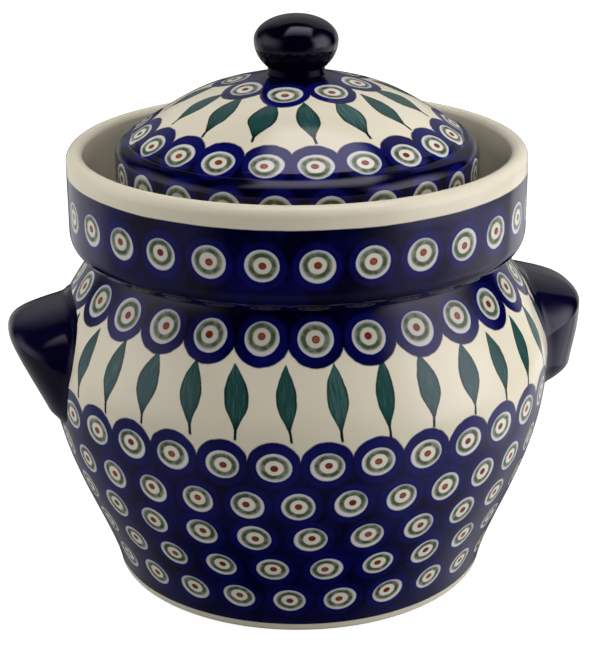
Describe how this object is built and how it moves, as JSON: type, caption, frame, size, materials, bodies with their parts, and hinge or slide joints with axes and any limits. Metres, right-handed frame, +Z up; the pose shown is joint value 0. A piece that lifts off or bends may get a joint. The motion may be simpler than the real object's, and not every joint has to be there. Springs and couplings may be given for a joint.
{
  "type": "fermentation crock",
  "caption": "Round-bellied glazed stoneware fermentation crock with lug handles, a water-trough collar, a domed lid that stands in the trough, and half-moon weight stones inside.",
  "frame": {"origin": "middle of the foot ring, on the surface that the crock stands on", "axes": "+Z up along the pot's axis, +X towards the right handle, +Y away from the front"},
  "size_m": [0.2966, 0.2574, 0.2867],
  "materials": {
    "decorated_glaze": "glossy cobalt and cream underglaze decor",
    "cream_glaze": "glossy clear glaze over pale clay",
    "navy_glaze": "glossy dark navy",
    "bare_clay": "matte fired stoneware"
  },
  "bodies": {
    "crock": {"crock_body": "decorated_glaze", "neck_ring": "cream_glaze", "moat_collar": "decorated_glaze", "left_handle": "navy_glaze", "right_handle": "navy_glaze"},
    "lid": {"lid_dome": "decorated_glaze", "lid_knob": "navy_glaze"},
    "left_stone": {"weight_stone_left": "bare_clay"},
    "right_stone": {"weight_stone_right": "bare_clay"}
  },
  "joints": [
    {"name": "lid_lift", "type": "slide", "parent": "crock", "child": "lid", "axis": [0, 0, 1], "range_m": [0, 0.12]},
    {"name": "left_stone_lift", "type": "slide", "parent": "crock", "child": "left_stone", "axis": [0, 0, 1], "range_m": [0, 0.11]},
    {"name": "right_stone_lift", "type": "slide", "parent": "crock", "child": "right_stone", "axis": [0, 0, 1], "range_m": [0, 0.11]}
  ]
}
